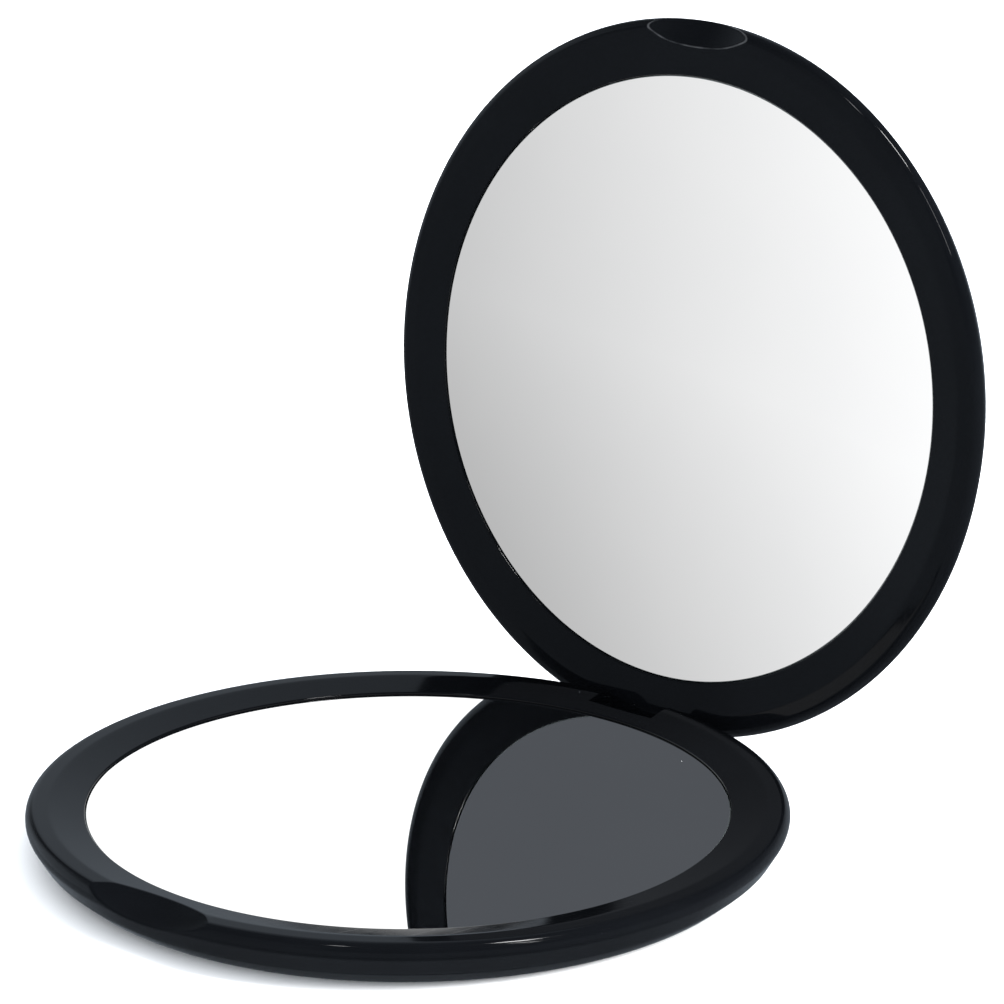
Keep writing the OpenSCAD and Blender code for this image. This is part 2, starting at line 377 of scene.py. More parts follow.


# Painted highlight: a pale line along the lip of a notch, where a ball's surface leaves the flat
# face, standing in for the light that the lip's rounded edge would catch
def buildNotchHighlightGroup():
    w = notchHighlightLine
    group, entry, leave = newGroup("notchPaintedHighlight", ["Vector", "Centre"], ["Radius", "Width"], ["Mask"])
    away = group.nodes.new("ShaderNodeVectorMath")
    away.operation = "DISTANCE"
    feed(group, away.inputs[0], entry.outputs["Vector"])
    feed(group, away.inputs[1], entry.outputs["Centre"])
    gap = mathNode(group, "SUBTRACT", away.outputs["Value"], entry.outputs["Radius"])
    share = mathNode(group, "DIVIDE", gap, entry.outputs["Width"])
    line = mathNode(group, "MULTIPLY", rampNode(group, share, *w["rise"]),
                    fallNode(group, share, *w["fall"]))
    patches = noiseNode(group, entry.outputs["Vector"], w["patchScale"], *w["patchDetail"])
    patches = rampNode(group, patches, *w["patchRange"])
    feed(group, leave.inputs["Mask"], mathNode(group, "MULTIPLY", line, patches))
    return group


dustGroup = buildDustGroup()
surfaceGroup = buildSurfaceGroup()
notchHighlightGroup = buildNotchHighlightGroup()


def useGroup(tree, group, vector, values):
    node = tree.nodes.new("ShaderNodeGroup")
    node.node_tree = group
    feed(tree, node.inputs["Vector"], vector)
    for label, value in values.items():
        feed(tree, node.inputs[label], value)
    return node


# What all finishes share: how the two base colours mix, and what dust and the painted notch
# highlight add to roughness
finishDetail = {
    "mottleDetail": (3, 0.6),
    "mottleRange": (0.3, 0.7),
    "markRoughness": 0.5,
    "specularLevel": 0.5,
}


# The common build of every finish: base colour with dust, wandering roughness and a fine bump
def makeFinish(name, look):
    d = finishDetail
    material = bpy.data.materials.new(name)
    material.use_nodes = True
    tree = material.node_tree
    shader = tree.nodes["Principled BSDF"]
    coordinates = tree.nodes.new("ShaderNodeTexCoord").outputs["Object"]
    place = tree.nodes.new("ShaderNodeMapping")
    place.inputs["Location"].default_value = look["shift"]
    feed(tree, place.inputs["Vector"], coordinates)
    vector = place.outputs["Vector"]
    surface = useGroup(tree, surfaceGroup, vector, look["surface"])
    dust = useGroup(tree, dustGroup, vector, look["dust"]).outputs["Mask"]
    mottle = noiseNode(tree, vector, look["mottleScale"], *d["mottleDetail"])
    mottle = rampNode(tree, mottle, *d["mottleRange"])
    colour = mixNode(tree, mottle, look["colour"], look["colourAlt"])
    colour = mixNode(tree, dust, colour, look["dustColour"])
    marks = dust
    # Where given, a painted highlight: a pale line along the lid notch's lip, mixed into the colour
    if "paintedNotchHighlight" in look:
        paintedNotchHighlight = useGroup(tree, notchHighlightGroup, coordinates, look["paintedNotchHighlight"]).outputs["Mask"]
        colour = mixNode(tree, paintedNotchHighlight, colour, look["notchHighlightColour"])
        marks = mathNode(tree, "MAXIMUM", marks, paintedNotchHighlight)
    feed(tree, shader.inputs["Base Color"], colour)
    rougher = mathNode(tree, "MULTIPLY", marks, d["markRoughness"])
    rough = mathNode(tree, "ADD", surface.outputs["Roughness"], rougher)
    feed(tree, shader.inputs["Roughness"], rough)
    bump = tree.nodes.new("ShaderNodeBump")
    bump.inputs["Distance"].default_value = look["bumpDistance"]
    bump.inputs["Strength"].default_value = look["bumpStrength"]
    feed(tree, bump.inputs["Height"], surface.outputs["Height"])
    feed(tree, shader.inputs["Normal"], bump.outputs["Normal"])
    metallic = look["metallic"]
    if look.get("dullDust"):
        metallic = mathNode(tree, "SUBTRACT", metallic, dust)
    feed(tree, shader.inputs["Metallic"], metallic)
    shader.inputs["IOR"].default_value = look["ior"]
    specular = look.get("specularLevel", d["specularLevel"])
    shader.inputs["Specular IOR Level"].default_value = specular
    return material


# Frames: the dished ring round each mirror, with its finger notch

# Rows along the outline, turns as (degrees, steps), and how the rows gather round the notch
frames = {
    "arcSteps": 40,
    "apertureRows": 7,
    "rampShares": (0.012, 0.05, 0.14, 0.35, 0.62, 0.84, 0.94, 1.0),
    "landShares": (0.08, 0.25, 0.6, 0.9),
    "crestRows": 34,
    "wallShares": (0.05, 0.14, 0.28, 0.5, 0.75, 0.92),
    "seamRows": 6,
    "turns": ((155, 112), (34, 170), (155, 112), (2.66, 1), (10.68, 8), (2.66, 1)),
    "startAzimuth": 98,
    "notchAzimuth": -90,
    "notchReach": 17,
    "notchRampShare": 0.75,
    "spanSamples": 400,
    "spanHalvings": 18,
    "borderWidth": 0.45,
    "smoothRounds": 3,
    "edgeSmoothing": 0.5,
}
notches = {
    "base": {"width": 21.8, "reach": 5.1, "drop": 2.4},
    "lid": {"width": 19.4, "reach": 3.6, "drop": 1.6},
}


# The bezel rises on a ramp from the mirror and is level from there to the rim
def bezelHeight(r):
    share = (r - half["trayRadius"]) / (half["rampRadius"] - half["trayRadius"])
    return apertureHeight + half["dish"] * min(share, 1)


# The ball that scoops a notch. It meets the rim at both ends of the width, the bezel at the
# reach and the wall at the drop
def notchBall(width, reach, drop):
    radius, top = half["radius"], half["thickness"]
    innerY = radius - reach
    innerZ = bezelHeight(innerY)
    endY = math.sqrt(radius ** 2 - (width / 2) ** 2)
    lowZ = top - drop
    lean = (lowZ - innerZ) / reach
    base = (radius ** 2 - innerY ** 2 + lowZ ** 2 - innerZ ** 2) / (2 * reach)
    z = lowZ ** 2 - top ** 2 - 2 * base * (radius - endY)
    z /= 2 * (lowZ - top - lean * (radius - endY))
    y = base - lean * z
    size = math.hypot(radius - y, lowZ - z)
    return Vector((0, -y, z)), size


lidNotchCentre, lidNotchSize = notchBall(**notches["lid"])
finishes = {
    "blackPlastic": {
        "colour": (0.0018, 0.0021, 0.0027), "colourAlt": (0.0026, 0.0030, 0.0038),
        "dustColour": (0.16, 0.17, 0.18), "metallic": 0.0, "ior": 1.46, "specularLevel": 0.22,
        "shift": (0.013, 0.021, 0.007),
        "surface": {"Low": 0.045, "High": 0.10, "Smears": 55, "Scratch": 0.07, "Wave": 0.6},
        "dust": {"Cells": 420, "Share": 0.05, "Size": 0.035},
        "mottleScale": 40, "bumpDistance": 0.00002, "bumpStrength": 0.3,
        # A painted highlight along the lid notch's lip, and its pale colour
        "paintedNotchHighlight": {"Centre": tuple(placeLid @ lidNotchCentre), "Radius": lidNotchSize * mm,
                 "Width": 0.00013},
        "notchHighlightColour": (0.045, 0.047, 0.05),
    },
    "silveredGlass": {
        "colour": (0.905, 0.91, 0.915), "colourAlt": (0.93, 0.933, 0.936),
        "dustColour": (0.98, 0.98, 0.98), "metallic": 1.0, "dullDust": True, "ior": 1.5,
        "shift": (0.031, 0.002, 0.017),
        "surface": {"Low": 0.0, "High": 0.0, "Smears": 40, "Scratch": 0.0, "Wave": 0.0},
        "dust": {"Cells": 330, "Share": 0.02, "Size": 0.06},
        "mottleScale": 25, "bumpDistance": 0.00001, "bumpStrength": 0.1,
    },
    "groundEdge": {
        "colour": (0.16, 0.18, 0.18), "colourAlt": (0.20, 0.225, 0.225),
        "dustColour": (0.5, 0.5, 0.5), "metallic": 0.3, "ior": 1.5, "shift": (0.0, 0.0, 0.0),
        "surface": {"Low": 0.20, "High": 0.26, "Smears": 120, "Scratch": 0.1, "Wave": 0.3},
        "dust": {"Cells": 600, "Share": 0.05, "Size": 0.06},
        "mottleScale": 120, "bumpDistance": 0.00001, "bumpStrength": 0.3,
    },
    "hingeSteel": {
        "colour": (0.55, 0.56, 0.57), "colourAlt": (0.63, 0.64, 0.65),
        "dustColour": (0.3, 0.3, 0.3), "metallic": 1.0, "ior": 1.5, "shift": (0.0, 0.004, 0.0),
        "surface": {"Low": 0.16, "High": 0.3, "Smears": 500, "Scratch": 0.25, "Wave": 0.3},
        "dust": {"Cells": 900, "Share": 0.05, "Size": 0.1},
        "mottleScale": 700, "bumpDistance": 0.00002, "bumpStrength": 0.5,
    },
    "magnetNickel": {
        "colour": (0.62, 0.60, 0.57), "colourAlt": (0.70, 0.68, 0.65),
        "dustColour": (0.4, 0.4, 0.4), "metallic": 1.0, "ior": 1.5, "shift": (0.002, 0.0, 0.0),
        "surface": {"Low": 0.12, "High": 0.22, "Smears": 400, "Scratch": 0.3, "Wave": 0.4},
        "dust": {"Cells": 900, "Share": 0.05, "Size": 0.1},
        "mottleScale": 500, "bumpDistance": 0.00002, "bumpStrength": 0.4,
    },
    "foamTape": {
        "colour": (0.70, 0.68, 0.62), "colourAlt": (0.80, 0.78, 0.72),
        "dustColour": (0.5, 0.48, 0.44), "metallic": 0.0, "ior": 1.4, "shift": (0.0, 0.0, 0.003),
        "surface": {"Low": 0.75, "High": 0.9, "Smears": 900, "Scratch": 0.0, "Wave": 1.0},
        "dust": {"Cells": 2600, "Share": 0.6, "Size": 0.3},
        "mottleScale": 1200, "bumpDistance": 0.00008, "bumpStrength": 0.8,
    },
}
materials = {name: makeFinish(name, look) for name, look in finishes.items()}
print("materials made:", ", ".join(materials))


# The outer surface of a frame from the tray's wall over the bezel and the rim to the seam
def skinPath():
    tray, top, seamZ = half["trayRadius"], half["thickness"], half["seamHeight"]
    seam = (half["seamRadius"], seamZ)
    crest = lineCross((0, top), (tray, top), seam, half["rimCorner"])
    return roundedPath([
        (tray, apertureHeight - half["trayWall"], 0), (tray, apertureHeight, half["apertureRound"]),
        (half["rampRadius"], top, half["rampRound"]), (crest.x, top, half["rimRound"]),
        (*seam, half["seamRound"]), (half["hollowOuter"] + half["seamLedge"], seamZ, 0)],
        frames["arcSteps"])


# The underside of a frame, from the seam round its hollow to the floor
def hollowPath():
    outer, inner, top = half["hollowOuter"], half["hollowInner"], half["hollowTop"]
    return [(outer, half["seamHeight"]), (outer + half["hollowLean"], top),
            (inner, top), (inner, half["floor"])]


def pathLengths(points):
    total = [0.0]
    for a, b in zip(points, points[1:]):
        total.append(total[-1] + (b - a).length)
    return total


def pointAlong(points, lengths, s):
    for i in range(1, len(points)):
        if s <= lengths[i] or i == len(points) - 1:
            t = (s - lengths[i - 1]) / (lengths[i] - lengths[i - 1])
            return points[i - 1].lerp(points[i], t)


# An (r, z) point turned to an azimuth
def atAzimuth(p, azimuth):
    return Vector((p.x * math.cos(azimuth), p.x * math.sin(azimuth), p.y))


# Where a path crosses the ball in the plane at an azimuth: first and last place inside it
def ballSpan(points, lengths, azimuth, centre, size):
    def isInside(s):
        spot = atAzimuth(pointAlong(points, lengths, s), azimuth)
        return (spot - centre).length < size

    inside = [s for s in evenly(0, lengths[-1], frames["spanSamples"]) if isInside(s)]
    if not inside:
        return None
    ends = []
    step = lengths[-1] / frames["spanSamples"]
    for low, outward in ((inside[0], -step), (inside[-1], step)):
        high = low + outward
        for _ in range(frames["spanHalvings"]):
            middle = (low + high) / 2
            if isInside(middle):
                low = middle
            else:
                high = middle
        ends.append(low)
    return ends


def ballHeight(r, azimuth, centre, size):
    away = Vector((r * math.cos(azimuth), r * math.sin(azimuth))) - centre.xy
    return centre.z - math.sqrt(max(size ** 2 - away.length_squared, 0))


# A frame's ring. Beside the notch its rows slide along the outline so that they meet the notch's
# lip, and those inside it drop onto the ball
def frameRing(notch, tail):
    path = skinPath()
    lengths = pathLengths(path)
    steps = frames["arcSteps"] + 1
    # The outline's four rounded corners, each from where to where along it
    arcs = [(lengths[1 + i * steps], lengths[(i + 1) * steps]) for i in range(4)]
    bezelStart, rampEnd = arcs[0][1], sum(arcs[1]) / 2
    (crestStart, crestEnd), seamStart = arcs[2], arcs[3][0]
    inner = [0.0] + evenly(*arcs[0], frames["apertureRows"])
    ramp = [bezelStart + (rampEnd - bezelStart) * share for share in frames["rampShares"]]
    land = [rampEnd + (crestStart - rampEnd) * share for share in frames["landShares"]]
    crest = evenly(crestStart, crestEnd, frames["crestRows"])
    wall = [crestEnd + (seamStart - crestEnd) * share for share in frames["wallShares"]]
    seam = evenly(*arcs[3], frames["seamRows"]) + [lengths[-1]]
    rows = inner + ramp + land + crest + wall + seam
    crestRow = len(inner + ramp + land)
    outline = [pointAlong(path, lengths, s) for s in rows] + [Vector(p) for p in tail]
    bm = spinOutline(outline, frames["turns"], frames["startAzimuth"])
    layer = bm.verts.layers.int["row"]
    centre, size = notchBall(**notch)
    middle, reach = math.radians(frames["notchAzimuth"]), math.radians(frames["notchReach"])

    def slide(s, row, enter, leave):
        first, last = min(enter, crestStart), max(leave, crestEnd)
        rampLast = min(rampEnd, bezelStart + (first - bezelStart) * frames["notchRampShare"])
        if s <= rampEnd:
            return bezelStart + (s - bezelStart) * (rampLast - bezelStart) / (rampEnd - bezelStart)
        if row < crestRow:
            return rampLast + (s - rampEnd) * (first - rampLast) / (crestStart - rampEnd)
        if row <= crestRow + frames["crestRows"]:
            return first + (last - first) * (row - crestRow) / frames["crestRows"]
        return seamStart - (seamStart - s) * (seamStart - last) / (seamStart - crestEnd)

    spans = {}
    border = []
    for v in bm.verts:
        row = v[layer]
        s = rows[min(row, len(rows) - 1)]
        azimuth = math.atan2(v.co.y, v.co.x)
        if not bezelStart < s < seamStart or abs(azimuth - middle) > reach:
            continue
        key = round(azimuth, 5)
        if key not in spans:
            spans[key] = ballSpan(path, lengths, azimuth, centre, size)
        if not spans[key]:
            continue
        enter, leave = spans[key]
        s = slide(s, row, enter, leave)
        p = pointAlong(path, lengths, s)
        if enter < s < leave:
            rEnter = pointAlong(path, lengths, enter).x
            rLeave = pointAlong(path, lengths, leave).x
            p.x = rEnter + (rLeave - rEnter) * (s - enter) / (leave - enter)
            p.y = ballHeight(p.x, azimuth, centre, size)
        v.co = atAzimuth(p, azimuth)
        if min(abs(s - enter), abs(s - leave)) < frames["borderWidth"]:
            border.append(v)
    for _ in range(frames["smoothRounds"]):
        bmesh.ops.smooth_vert(bm, verts=border, factor=frames["edgeSmoothing"],
                              use_axis_x=True, use_axis_y=True, use_axis_z=True)
    return bm


# Base frame, with the hinge block and the slot that the lid's arm swings in

baseHinge = {
    "slotHalf": 5.5,
    "slotFront": 44.5,
    "earHalf": 9.0,
    "earRound": 0.25,
    "blockInner": 46.5,
    "blockOuter": 49.9,
    "blockLow": 0.4,
    "blockHigh": 4.6,
    "blockRound": 0.45,
    "blockStart": 77,
    "blockTurn": (26, 26),
    "cutTolerance": 1e-5,
    "stopBack": 1.7,
    "stopStart": 1.4,
    "stopLength": 0.7,
    "stopDrop": 1.2,
    "stopSeat": 0.3,
    "edgeRound": 0.3,
    "mouthLow": 5.7,
    "mouthEnd": 48.4,
    "mouthTurn": 0.5,
    "coverSideGap": 0.1,
    "coverFrontGap": 0.3,
}
pinRod = {
    "radius": 0.75,
    "half": 8.8,
    "clearance": 0.005,
    "steps": 48,
    "chamfer": 0.15,
    "chamferSteps": 2,
}
baseMirror = {
    "radius": 42.12,
    "tapeLow": 2.9,
    "thickness": 1.8,
    "arris": 0.12,
    "top": 5.2,
    "midRow": 0.5,
}


def hingeBlock():
    h = baseHinge
    inner, outer = h["blockInner"], h["blockOuter"]
    outline = roundedPath([
        (inner, (h["blockLow"] + h["blockHigh"]) / 2, 0),
        (inner, h["blockLow"], h["blockRound"]),
        (outer, h["blockLow"], h["blockRound"]),
        (outer, h["blockHigh"], 0),
        (inner, h["blockHigh"], 0)], smallArc)
    bm = spinOutline(outline, (h["blockTurn"],), h["blockStart"])
    for side in (-1, 1):
        cut = bmesh.ops.bisect_plane(bm, geom=bm.verts[:] + bm.edges[:] + bm.faces[:],
                                     dist=h["cutTolerance"], plane_co=(side * h["earHalf"], 0, 0),
                                     plane_no=(side, 0, 0), clear_outer=True)
        rim = [g for g in cut["geom_cut"] if isinstance(g, bmesh.types.BMEdge)]
        bmesh.ops.holes_fill(bm, edges=rim)
    bevelEdges(bm, endEdges(bm, h["earHalf"]), h["earRound"])
    return bm


# The edges where the slot opens in the bezel, short of the rim's rounding
def slotMouth(bm):
    h = baseHinge

    def onWall(v):
        side = abs(abs(v.co.x) - h["slotHalf"]) < onPlane and v.co.y > h["slotFront"] - onPlane
        front = abs(v.co.y - h["slotFront"]) < onPlane and abs(v.co.x) < h["slotHalf"] + onPlane
        return side or front

    def inBezel(v):
        return v.co.z > h["mouthLow"] and v.co.xy.length < h["mouthEnd"]

    return [e for e in bm.edges if all(onWall(v) and inBezel(v) for v in e.verts)
            and e.calc_face_angle(0) > h["mouthTurn"]]


def buildBaseFrame():
    h = baseHinge
    tapeLow = baseMirror["tapeLow"]
    tail = hollowPath() + [(0, half["floor"]), (0, tapeLow), (half["trayRadius"], tapeLow)]
    bm = frameRing(notches["base"], tail)
    bm = combine(bm, hingeBlock(), "UNION")
    slot = boxShape((-h["slotHalf"], h["slotFront"], -overrun),
                    (h["slotHalf"], half["radius"] + overrun, half["thickness"] + overrun))
    bm = combine(bm, slot, "DIFFERENCE")
    bevelEdges(bm, slotMouth(bm), h["edgeRound"])
    bore = barAlongX(pinRod["radius"], 2 * (h["earHalf"] + overrun), pinPoint)
    bm = combine(bm, bore, "DIFFERENCE")
    stopHalf = h["slotHalf"] + h["stopSeat"]
    stop = boxShape((-stopHalf, h["stopBack"], h["stopStart"]),
                    (stopHalf, h["stopBack"] + h["stopDrop"], h["stopStart"] + h["stopLength"]))
    bmesh.ops.transform(stop, matrix=swingOpen, verts=stop.verts[:])
    bm = combine(bm, stop, "UNION")
    mergeClose(bm, sliver)
    return bm


finishPiece("dishedBaseFrame", buildBaseFrame(), placeBase, "base", "base_frame",
            materials["blackPlastic"])


# Covers: the outer skin of each half

def coverShape():
    outline = roundedPath([
        (0, 0, 0), (half["footRadius"], 0, half["footRound"]),
        (half["seamRadius"], half["seamHeight"], half["seamRound"]),
        (half["lipOuter"], half["seamHeight"], 0),
        (half["lipOuter"], half["lipTop"], half["lipRound"]),
        (half["lipInner"], half["lipTop"], half["lipRound"]),
        (half["lipInner"], half["skin"], half["lipRoot"]), (0, half["skin"], 0)], smallArc)
    return spinOutline(outline, fullTurn)


# The base's cover is cut through round the hinge block, and has no lip on that side
def buildBaseCover():
    h = baseHinge
    side, front = h["earHalf"] + h["coverSideGap"], h["blockInner"] - h["coverFrontGap"]
    high = (side, half["radius"] + overrun, half["thickness"])
    bm = combine(coverShape(), boxShape((-side, front, -overrun), high), "DIFFERENCE")
    above = boxShape((-side, half["trayRadius"], half["skin"]), high)
    return combine(bm, above, "DIFFERENCE")


finishPiece("baseCoverShell", buildBaseCover(), placeBase, "base", "base_cover",
            materials["blackPlastic"])
finishPiece("lidCoverShell", coverShape(), placeLid, "lid", "lid_cover",
            materials["blackPlastic"])


# Mirrors: silvered glass with a ground edge

lidMirror = {
    "radius": 42.12,
    "edgeTop": 5.2,
    "depth": 2.7,
    "thickness": 1.3,
    "tape": 0.5,
    "arris": 0.12,
    "ledge": 2.8,
    "faceRows": 40,
    "backRows": 20,
}
mirrorSharpAngle = 20
bowlRadius = (lidMirror["radius"] ** 2 + lidMirror["depth"] ** 2) / (2 * lidMirror["depth"])
bowlCentre = lidMirror["edgeTop"] - lidMirror["depth"] + bowlRadius


# The curved mirror's face, or a surface that lies a layer behind it
def bowlHeight(r, layer=0.0):
    return bowlCentre - math.sqrt((bowlRadius + layer) ** 2 - r ** 2)


# Gives every face outside a radius the second material
def paintEdge(obj, place, edgeRadius, edge):
    obj.data.materials.append(edge)
    back = place.inverted()
    for polygon in obj.data.polygons:
        spot = back @ polygon.center
        if spot.xy.length > edgeRadius:
            polygon.material_index = 1


def buildFlatMirror():
    m = baseMirror
    bottom = m["top"] - m["thickness"]
    outline = [(0, m["top"]), (m["radius"] * m["midRow"], m["top"]),
               (m["radius"] - m["arris"], m["top"]), (m["radius"], m["top"] - m["arris"]),
               (m["radius"], bottom), (0, bottom)]
    return spinOutline([Vector(p) for p in outline], fullTurn)


def buildBowlMirror():
    m = lidMirror
    rim, radius = m["radius"] - m["arris"], m["radius"]
    face = [Vector((r, bowlHeight(r))) for r in evenly(0, rim, m["faceRows"])]
    edge = [Vector((radius, bowlHeight(radius) - m["arris"]))]
    back = [Vector((r, bowlHeight(r, m["thickness"]))) for r in evenly(0, radius, m["backRows"])]
    return spinOutline(face + edge + back[::-1], fullTurn)


flatMirror = finishPiece("flatMirrorGlass", buildFlatMirror(), placeBase, "base", "flat_mirror",
                         materials["silveredGlass"], mirrorSharpAngle)
bowlMirror = finishPiece("magnifyingMirrorGlass", buildBowlMirror(), placeLid, "lid",
                         "magnifying_mirror", materials["silveredGlass"],
                         mirrorSharpAngle)
for obj, place, sizes in ((flatMirror, placeBase, baseMirror), (bowlMirror, placeLid, lidMirror)):
    paintEdge(obj, place, sizes["radius"] - sizes["arris"], materials["groundEdge"])


# Lid frame, with the arm and knuckle that turn on the pin

lidArm = {
    "halfWidth": 5.2,
    "knuckle": 2.0,
    "barrel": 2.7,
    "barrelSteps": 96,
    "back": 1.6,
    "top": 4.75,
    "joined": 0.1,
    "edgeRound": 0.3,
    "pinBore": 0.8,
}


# The arm is built round the pin's axis. Its edges are rounded except where it joins the frame
def armShape():
    a = lidArm
    width, low = a["halfWidth"], -a["barrel"]
    bm = barAlongX(a["barrel"], 2 * width, (0, 0, 0), a["barrelSteps"])
    quarter = boxShape((-width - overrun, low - overrun, low - overrun), (width + overrun, 0, 0))
    bm = combine(bm, quarter, "INTERSECT")
    bm = combine(bm, boxShape((-width, low, 0), (width, a["back"], a["top"])), "UNION")
    knuckle = barAlongX(a["knuckle"], 2 * width, (0, 0, 0), a["barrelSteps"])
    bm = combine(bm, knuckle, "UNION")
    sides = [e for e in endEdges(bm, width)
             if min(v.co.z for v in e.verts) < a["top"] - a["joined"]]
    bevelEdges(bm, sides, a["edgeRound"])
    bore = barAlongX(a["pinBore"], 2 * (width + overrun), (0, 0, 0))
    return combine(bm, bore, "DIFFERENCE")


def buildLidFrame():
    ledgeInner = half["trayRadius"] - lidMirror["ledge"]
    layer = lidMirror["thickness"] + lidMirror["tape"]
    tail = hollowPath() + [(ledgeInner, half["floor"]), (ledgeInner, bowlHeight(ledgeInner, layer)),
                           (half["trayRadius"], bowlHeight(half["trayRadius"], layer))]
    bm = frameRing(notches["lid"], tail)
    toArm = placeArm.inverted() @ placeLid
    bmesh.ops.transform(bm, matrix=toArm, verts=bm.verts[:])
    bm = combine(bm, armShape(), "UNION")
    mergeClose(bm, sliver)
    return bm


finishPiece("dishedLidFrame", buildLidFrame(), placeArm, "lid", "lid_frame",
            materials["blackPlastic"])


# Hinge pin, with chamfered ends

def buildPin():
    p = pinRod
    bm = barAlongX(p["radius"] - p["clearance"], 2 * p["half"], pinPoint, p["steps"])
    bevelEdges(bm, endEdges(bm, p["half"]), p["chamfer"], p["chamferSteps"])
    return bm


finishPiece("hingePinRod", buildPin(), placeBase, "base", "hinge_pin",
            materials["hingeSteel"])

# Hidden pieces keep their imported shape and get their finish
hiddenFinishes = {
    "flat_mirror_tape": "foamTape",
    "magnifying_mirror_tape": "foamTape",
    "base_magnet_left": "magnetNickel",
    "base_magnet_right": "magnetNickel",
    "lid_keeper_left": "hingeSteel",
    "lid_keeper_right": "hingeSteel",
}
for nodeName, finish in hiddenFinishes.items():
    for holder in frame["nodes"][nodeName].material_slots:
        holder.material = materials[finish]
print("hidden pieces finished:", len(hiddenFinishes))


# Table, lights and camera

studio = {
    "tableSize": 12.0,
    "tableColour": (0.93, 0.93, 0.93),
    "tableRoughness": 0.9,
    "softLight": (1.72, 1.80, 1.89),
    "cameraSky": (1.0, 1.0, 1.0),
    "glossTint": (0.88, 1.0, 1.14),
    "mirrorTint": (0.93, 1.0, 1.12),
    "mirrorTintBelow": 0.2,
}
# The room as reflections see it: (elevation in degrees, brightness), on gloss and in the mirrors
roomBands = {
    "gloss": (
        (-90, 0.36), (-75, 0.31), (-60, 0.19), (-45, 0.15), (-25, 0.30), (4, 0.30), (15, 0.13),
        (22, 0.085), (90, 0.09)),
    "glossBackLeft": (
        (-90, 0.36), (-75, 0.31), (-60, 0.19), (-45, 0.14), (-25, 0.24), (-6, 0.28), (6, 0.38),
        (14, 0.42), (45, 0.40), (65, 0.15), (90, 0.09)),
    "glossLeft": (
        (-90, 0.36), (-75, 0.31), (-60, 0.19), (-45, 0.15), (-25, 0.30), (-12, 0.34), (-4, 0.62),
        (22, 0.62), (34, 0.22), (45, 0.09), (90, 0.09)),
    "glossFrontLeft": (
        (-90, 0.36), (-75, 0.31), (-60, 0.19), (-45, 0.15), (-25, 0.30), (4, 0.31), (15, 0.27),
        (38, 0.24), (54, 0.09), (90, 0.09)),
    "mirror": ((-90, 1.4), (8, 1.4), (20, 0.098), (90, 0.10)),
    "mirrorBackLeft": ((-90, 1.4), (60, 1.2), (80, 0.5), (90, 0.2)),
}
# Where the bands of one direction lie over the others: the azimuth of the middle, and how far to
# either side they are whole and gone. The walls to the left show on gloss only
roomSectors = {
    "glossBackLeft": (42, 15, 24),
    "glossLeft": (101, 16, 30),
    "glossFrontLeft": (172, 14, 28),
    "mirrorBackLeft": (42, 26, 48),
}
# To the front left the pale floor falls off, which gives the tall mirror its grey fade. Nearer the
# horizon, from lowest to highest, it falls off sooner by up to "lean" degrees. The fade is whole
# up to the first elevation of "ceiling" and gone from the second
floorFade = {
    "start": 100, "light": 130, "dark": 160, "end": 205, "lightShare": 0.82, "darkShare": 0.37,
    "lowest": -8, "highest": 8, "lean": 17.6, "ceiling": (8, 20),
}


# The table is left out of reflections, where the room's lower bands stand for it
def buildTable():
    bm = bmesh.new()
    bmesh.ops.create_grid(bm, x_segments=2, y_segments=2, size=studio["tableSize"] / 2)
    table = makeObject("studioTable", bm)
    finish = bpy.data.materials.new("paleTable")
    finish.use_nodes = True
    shader = finish.node_tree.nodes["Principled BSDF"]
    shader.inputs["Base Color"].default_value = (*studio["tableColour"], 1)
    shader.inputs["Roughness"].default_value = studio["tableRoughness"]
    shader.inputs["Specular IOR Level"].default_value = 0.0
    table.data.materials.append(finish)
    table.visible_glossy = False


# An elevation in degrees as its share of the way from straight down to straight up
def elevationShare(degrees):
    return (degrees + 90) / 180


# A colour ramp of brightness against elevation. All of it is tinted on gloss, in the mirrors only
# the dark
def bandNode(tree, elevation, name):
    bands = roomBands[name]
    ramp = tree.nodes.new("ShaderNodeValToRGB")
    points = ramp.color_ramp.elements
    while len(points) < len(bands):
        points.new(0.5)
    for point, (degrees, value) in zip(points, bands):
        point.position = elevationShare(degrees)
        tint = studio["glossTint"]
        if name.startswith("mirror"):
            tint = studio["mirrorTint"] if value < studio["mirrorTintBelow"] else (1, 1, 1)
        point.color = (*(value * t for t in tint), 1)
    feed(tree, ramp.inputs["Fac"], elevation)
    return ramp.outputs["Color"]


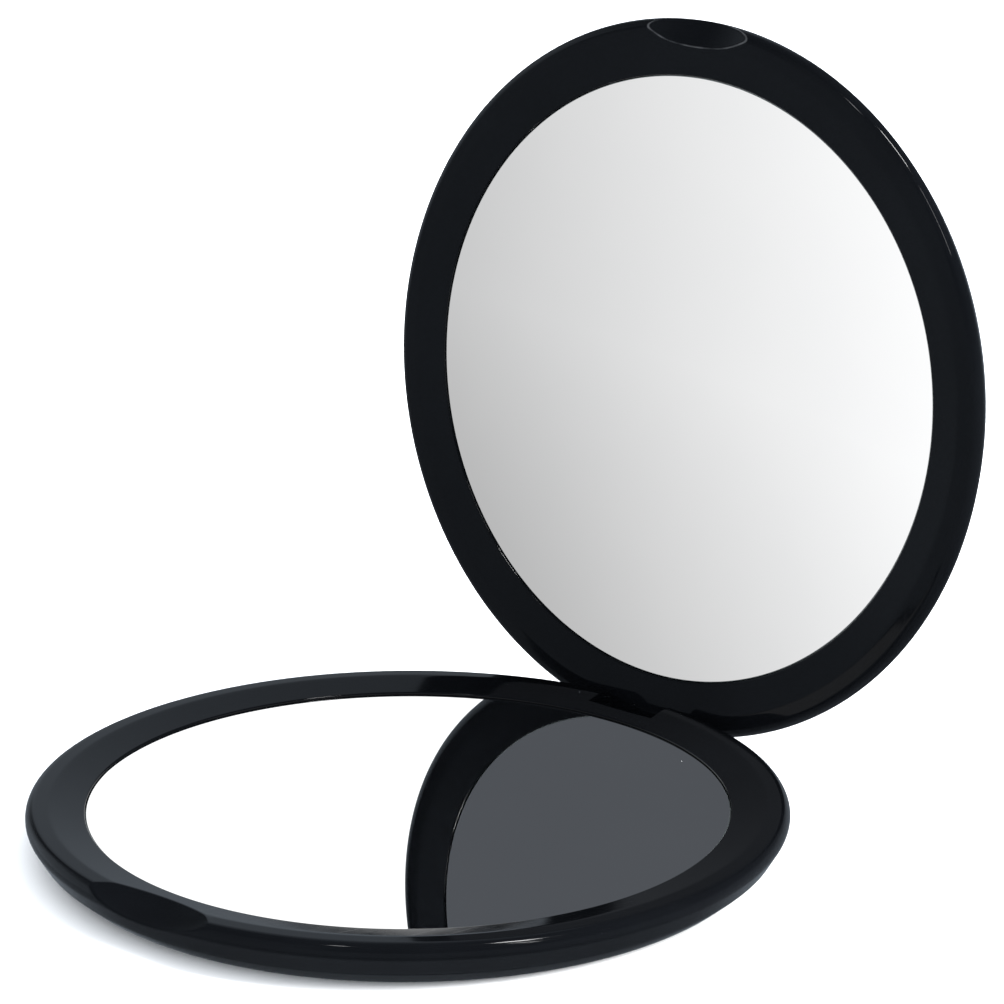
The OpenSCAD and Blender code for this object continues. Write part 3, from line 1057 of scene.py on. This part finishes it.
# The room is pale to the camera and to soft light, and has bands of light and dark in reflections
def buildRoom():
    world = bpy.data.worlds.new("room")
    bpy.context.scene.world = world
    world.use_nodes = True
    tree = world.node_tree
    tree.nodes.clear()
    output = tree.nodes.new("ShaderNodeOutputWorld")
    rays = tree.nodes.new("ShaderNodeLightPath")
    direction = tree.nodes.new("ShaderNodeTexCoord")
    parts = tree.nodes.new("ShaderNodeSeparateXYZ")
    feed(tree, parts.inputs["Vector"], direction.outputs["Generated"])
    angle = mathNode(tree, "ARCSINE", parts.outputs["Z"])
    elevation = mathNode(tree, "ADD", mathNode(tree, "DIVIDE", angle, math.pi), 0.5)
    leftward = mathNode(tree, "MULTIPLY", parts.outputs["X"], -1.0)
    turn = mathNode(tree, "ARCTAN2", leftward, parts.outputs["Y"])
    azimuth = mathNode(tree, "FLOORED_MODULO", mathNode(tree, "DEGREES", turn), 360.0)

    def layered(base, *sectors):
        seen = bandNode(tree, elevation, base)
        for name in sectors:
            middle, inner, outer = roomSectors[name]
            away = mathNode(tree, "ABSOLUTE", mathNode(tree, "SUBTRACT", azimuth, middle))
            share = fallNode(tree, away, inner, outer)
            seen = mixNode(tree, share, seen, bandNode(tree, elevation, name))
        return seen

    gloss = layered("gloss", "glossBackLeft", "glossLeft", "glossFrontLeft")
    mirrored = layered("mirror", "mirrorBackLeft")
    f = floorFade
    lean = rampNode(tree, elevation, elevationShare(f["lowest"]), elevationShare(f["highest"]),
                    0.0, f["lean"])
    leaning = mathNode(tree, "ADD", azimuth, lean)
    falling = rampNode(tree, leaning, f["light"], f["dark"], f["lightShare"], f["darkShare"])
    inside = mathNode(tree, "MULTIPLY", rampNode(tree, azimuth, f["start"], f["light"]),
                      fallNode(tree, azimuth, f["dark"], f["end"]))
    low = fallNode(tree, elevation, *(elevationShare(degrees) for degrees in f["ceiling"]))
    fade = mixNode(tree, mathNode(tree, "MULTIPLY", inside, low), (1.0, 1.0, 1.0), falling)
    mirrored = mixNode(tree, 1.0, mirrored, fade, "MULTIPLY")
    seen = mixNode(tree, rays.outputs["Is Singular Ray"], gloss, mirrored)
    seen = mixNode(tree, rays.outputs["Is Diffuse Ray"], seen, studio["softLight"])
    seen = mixNode(tree, rays.outputs["Is Camera Ray"], seen, studio["cameraSky"])
    background = tree.nodes.new("ShaderNodeBackground")
    feed(tree, background.inputs["Color"], seen)
    feed(tree, output.inputs["Surface"], background.outputs["Background"])


# Each soft panel: azimuth from the hinge side towards the left, elevation, distance, size and power
panels = {
    "rightPanel": (279, 67, 1.0, (0.07, 0.19), 2.4),
    "frontPanel": (188, 65, 1.0, (0.06, 0.08), 0.22),
    "lowerRightPanel": (262, 48, 1.0, (0.05, 0.30), 0.6),
}
panelTarget = (0, 0, 0.02)
# A broad light from the right that gloss doesn't show, so the shadow lies to the left
fillPanel = (300, 32, 1.2, (0.6, 0.6), 34)
fillTarget = (0, 0, 0)


def softPanel(name, target, azimuth, elevation, distance, size, power):
    light = bpy.data.lights.new(name, "AREA")
    light.shape = "RECTANGLE"
    light.size, light.size_y = size
    light.energy = power
    obj = bpy.data.objects.new(name, light)
    bpy.context.scene.collection.objects.link(obj)
    a, e = math.radians(azimuth), math.radians(elevation)
    outward = Vector((-math.sin(a) * math.cos(e), math.cos(a) * math.cos(e), math.sin(e)))
    obj.location = outward * distance
    obj.rotation_euler = (Vector(target) - obj.location).to_track_quat("-Z", "Y").to_euler()
    obj.visible_camera = False
    return obj


buildTable()
buildRoom()
for name, panel in panels.items():
    softPanel(name, panelTarget, *panel)
softPanel("fillPanel", fillTarget, *fillPanel).visible_glossy = False
print("table, room and lights made")

# Fitted to the outlines of both discs in the photograph, in millimetres
camera = {
    "lens": 143.70,
    "sensor": 36.0,
    "clip": (0.01, 50),
    "place": (323.757, -368.249, 196.521),
    "right": (0.7660978, 0.64270772, 0.00457698),
    "up": (-0.19136814, 0.22129809, 0.95624547),
    "back": (0.61357346, -0.73345344, 0.29252976),
}


def buildCamera():
    data = bpy.data.cameras.new("photoCamera")
    data.sensor_width = camera["sensor"]
    data.lens = camera["lens"]
    data.clip_start, data.clip_end = camera["clip"]
    obj = bpy.data.objects.new("photoCamera", data)
    bpy.context.scene.collection.objects.link(obj)
    turned = Matrix((camera["right"], camera["up"], camera["back"])).transposed().to_4x4()
    obj.matrix_world = Matrix.Translation(Vector(camera["place"]) * mm) @ turned
    bpy.context.scene.camera = obj


buildCamera()
bpy.context.scene.view_settings.view_transform = "Standard"
print("camera set")
